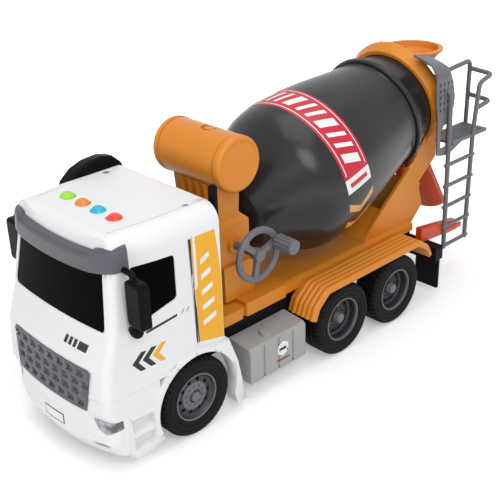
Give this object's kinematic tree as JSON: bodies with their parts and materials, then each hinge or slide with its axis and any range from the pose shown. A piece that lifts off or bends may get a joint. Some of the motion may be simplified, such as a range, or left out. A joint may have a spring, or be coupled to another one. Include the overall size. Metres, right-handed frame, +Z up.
{
  "type": "toy cement mixer truck",
  "caption": "Toy cement mixer truck: cab, three axles, a tilted drum turned by a side hand wheel, feed hopper, swinging chute, ladder and press buttons.",
  "frame": {"origin": "centre of the truck's footprint on the floor", "axes": "+X forward to the cab, +Y to the truck's left, +Z up"},
  "size_m": [0.4325, 0.152, 0.2156],
  "materials": {
    "black_trim": "black moulded ABS",
    "board_green": "glass-fibre circuit board",
    "button_blue": "sky blue moulded button",
    "button_green": "light green moulded button",
    "button_orange": "orange moulded button",
    "button_red": "red moulded button",
    "cab_white": "white injection-moulded ABS, low gloss",
    "chassis_black": "black moulded polypropylene",
    "chute_red": "red-orange moulded ABS",
    "dark_glazing": "black glossy polystyrene panes",
    "deck_orange": "orange moulded ABS, semi-gloss",
    "drum_grey": "dark grey blow-moulded drum, semi-gloss",
    "lamp_clear": "smoked clear polystyrene lamp covers",
    "rail_grey": "mid grey moulded polypropylene",
    "rim_grey": "dark grey moulded rims",
    "steel": "plain steel rod and screws",
    "tank_grey": "light grey moulded ABS",
    "trim_grey": "dark grey moulded ABS",
    "tyre_rubber": "soft black PVC tyres"
  },
  "bodies": {
    "truck": {"air_intake": "black_trim", "battery_box": "chassis_black", "battery_door": "chassis_black", "body_deck": "deck_orange", "cab_back_panel": "black_trim", "cab_shell": "cab_white", "chassis_frame": "chassis_black", "chute_bracket": "chute_red", "drum_pedestal": "deck_orange", "feed_hopper": "deck_orange", "friction_motor": "chassis_black", "front_bumper": "cab_white", "fuel_tank_left": "tank_grey", "fuel_tank_right": "tank_grey", "grille": "trim_grey", "headlight_left": "lamp_clear", "headlight_right": "lamp_clear", "ladder": "rail_grey", "ladder_arm": "chute_red", "mirror_left": "black_trim", "mirror_right": "black_trim", "platform": "rail_grey", "rear_bumper": "chassis_black", "rear_frame": "deck_orange", "service_shield": "rail_grey", "side_window_left": "dark_glazing", "side_window_right": "dark_glazing", "sound_board": "board_green", "speaker": "chassis_black", "sun_visor": "trim_grey", "tank_cap_left": "deck_orange", "tank_cap_right": "deck_orange", "water_tank": "deck_orange", "windshield": "dark_glazing"},
    "front_wheels": {"axle_front": "steel", "rim_front_left": "rim_grey", "rim_front_right": "rim_grey", "tyre_front_left": "tyre_rubber", "tyre_front_right": "tyre_rubber"},
    "middle_wheels": {"axle_middle": "steel", "rim_middle_left": "rim_grey", "rim_middle_right": "rim_grey", "tyre_middle_left": "tyre_rubber", "tyre_middle_right": "tyre_rubber"},
    "rear_wheels": {"axle_rear": "steel", "rim_rear_left": "rim_grey", "rim_rear_right": "rim_grey", "tyre_rear_left": "tyre_rubber", "tyre_rear_right": "tyre_rubber"},
    "drum": {"drum_shell_front": "drum_grey", "drum_shell_rear": "drum_grey", "drum_shaft": "rail_grey"},
    "crank": {"crank_shaft": "rail_grey", "hand_wheel": "rail_grey"},
    "knob": {"crank_knob": "rail_grey"},
    "chute": {"discharge_chute": "chute_red"},
    "green_button": {"button_green": "button_green"},
    "orange_button": {"button_orange": "button_orange"},
    "blue_button": {"button_blue": "button_blue"},
    "red_button": {"button_red": "button_red"}
  },
  "joints": [
    {"name": "front_axle_spin", "type": "hinge", "parent": "truck", "child": "front_wheels", "pos_m": [0.135, 0, 0.03], "axis": [0, 1, 0], "continuous": true},
    {"name": "middle_axle_spin", "type": "hinge", "parent": "truck", "child": "middle_wheels", "pos_m": [-0.014, 0, 0.03], "axis": [0, 1, 0], "continuous": true},
    {"name": "rear_axle_spin", "type": "hinge", "parent": "truck", "child": "rear_wheels", "pos_m": [-0.08, 0, 0.03], "axis": [0, 1, 0], "continuous": true},
    {"name": "drum_spin", "type": "hinge", "parent": "truck", "child": "drum", "pos_m": [-0.045, 0, 0.141], "axis": [-0.9703, 0, 0.2419], "continuous": true},
    {"name": "crank_spin", "type": "hinge", "parent": "truck", "child": "crank", "pos_m": [0.067, 0, 0.11307], "axis": [0, 1, 0], "continuous": true},
    {"name": "knob_spin", "type": "hinge", "parent": "crank", "child": "knob", "pos_m": [0.04969, 0.055, 0.1187], "axis": [0, 1, 0], "continuous": true},
    {"name": "chute_swing", "type": "hinge", "parent": "truck", "child": "chute", "pos_m": [-0.162, 0, 0.104], "axis": [0, 0, 1], "range_deg": [-35, 35]},
    {"name": "green_button_press", "type": "slide", "parent": "truck", "child": "green_button", "axis": [0, 0, -1], "range_m": [0, 0.0015], "stiffness_N_per_m": 400},
    {"name": "orange_button_press", "type": "slide", "parent": "truck", "child": "orange_button", "axis": [0, 0, -1], "range_m": [0, 0.0015], "stiffness_N_per_m": 400},
    {"name": "blue_button_press", "type": "slide", "parent": "truck", "child": "blue_button", "axis": [0, 0, -1], "range_m": [0, 0.0015], "stiffness_N_per_m": 400},
    {"name": "red_button_press", "type": "slide", "parent": "truck", "child": "red_button", "axis": [0, 0, -1], "range_m": [0, 0.0015], "stiffness_N_per_m": 400}
  ],
  "couplings": [
    {"joint": "crank_spin", "follows": "drum_spin", "ratio": -1}
  ]
}
